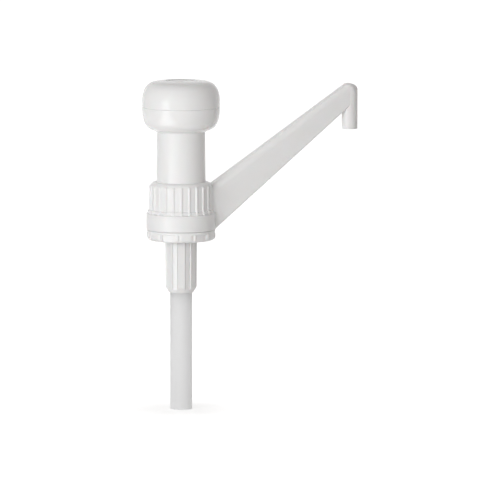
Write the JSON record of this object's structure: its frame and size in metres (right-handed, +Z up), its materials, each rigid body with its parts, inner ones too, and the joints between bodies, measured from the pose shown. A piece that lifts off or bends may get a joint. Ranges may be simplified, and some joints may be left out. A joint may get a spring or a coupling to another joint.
{
  "type": "bottle dispenser pump",
  "caption": "Canister dispenser pump: round push knob over a fixed cylinder, ribbed collar, long rising arm with a down-turned nozzle, screw closure, fluted inlet and dip tube.",
  "frame": {"origin": "centre of the seat for the canister's neck rim, on the pump's axis", "axes": "+Z up along the pump's axis, +X toward the nozzle, arm in the XZ plane"},
  "size_m": [0.1714, 0.0598, 0.2543],
  "materials": {
    "white_plastic": "white moulded polypropylene, satin gloss",
    "natural_plastic": "natural polypropylene, uncoloured",
    "tube_plastic": "milky polyethylene tube",
    "rubber": "black seal rubber",
    "steel": "stainless steel"
  },
  "bodies": {
    "closure": {"closure_ring": "white_plastic", "neck_gasket": "rubber"},
    "pump": {"collar_body": "white_plastic", "pump_cylinder": "white_plastic", "spout_arm": "white_plastic", "outlet_tube": "natural_plastic", "outlet_valve_seat": "natural_plastic", "outlet_seal": "rubber", "base_plate": "white_plastic", "inlet_housing": "white_plastic", "housing_seal": "rubber", "inlet_cage": "natural_plastic", "dip_tube": "tube_plastic", "guide_cap": "natural_plastic", "return_spring": "steel"},
    "plunger": {"knob_cap": "white_plastic", "knob_bowl": "white_plastic", "piston_rod": "natural_plastic", "piston": "natural_plastic", "piston_cup": "rubber", "piston_clip": "natural_plastic"},
    "inlet_valve": {"inlet_ball": "steel"},
    "outlet_valve": {"outlet_ball": "steel"}
  },
  "joints": [
    {"name": "spout_swivel", "type": "hinge", "parent": "closure", "child": "pump", "pos_m": [0, 0, 0], "axis": [0, 0, 1], "continuous": true},
    {"name": "plunger_press", "type": "slide", "parent": "pump", "child": "plunger", "axis": [0, 0, -1], "range_m": [0, 0.03], "stiffness_N_per_m": 500, "springref_m": -0.02, "deforming": ["return_spring"]},
    {"name": "inlet_ball_lift", "type": "slide", "parent": "pump", "child": "inlet_valve", "axis": [0, 0, 1], "range_m": [0, 0.004]},
    {"name": "outlet_ball_lift", "type": "slide", "parent": "pump", "child": "outlet_valve", "axis": [0, 0, 1], "range_m": [0, 0.0025]}
  ]
}
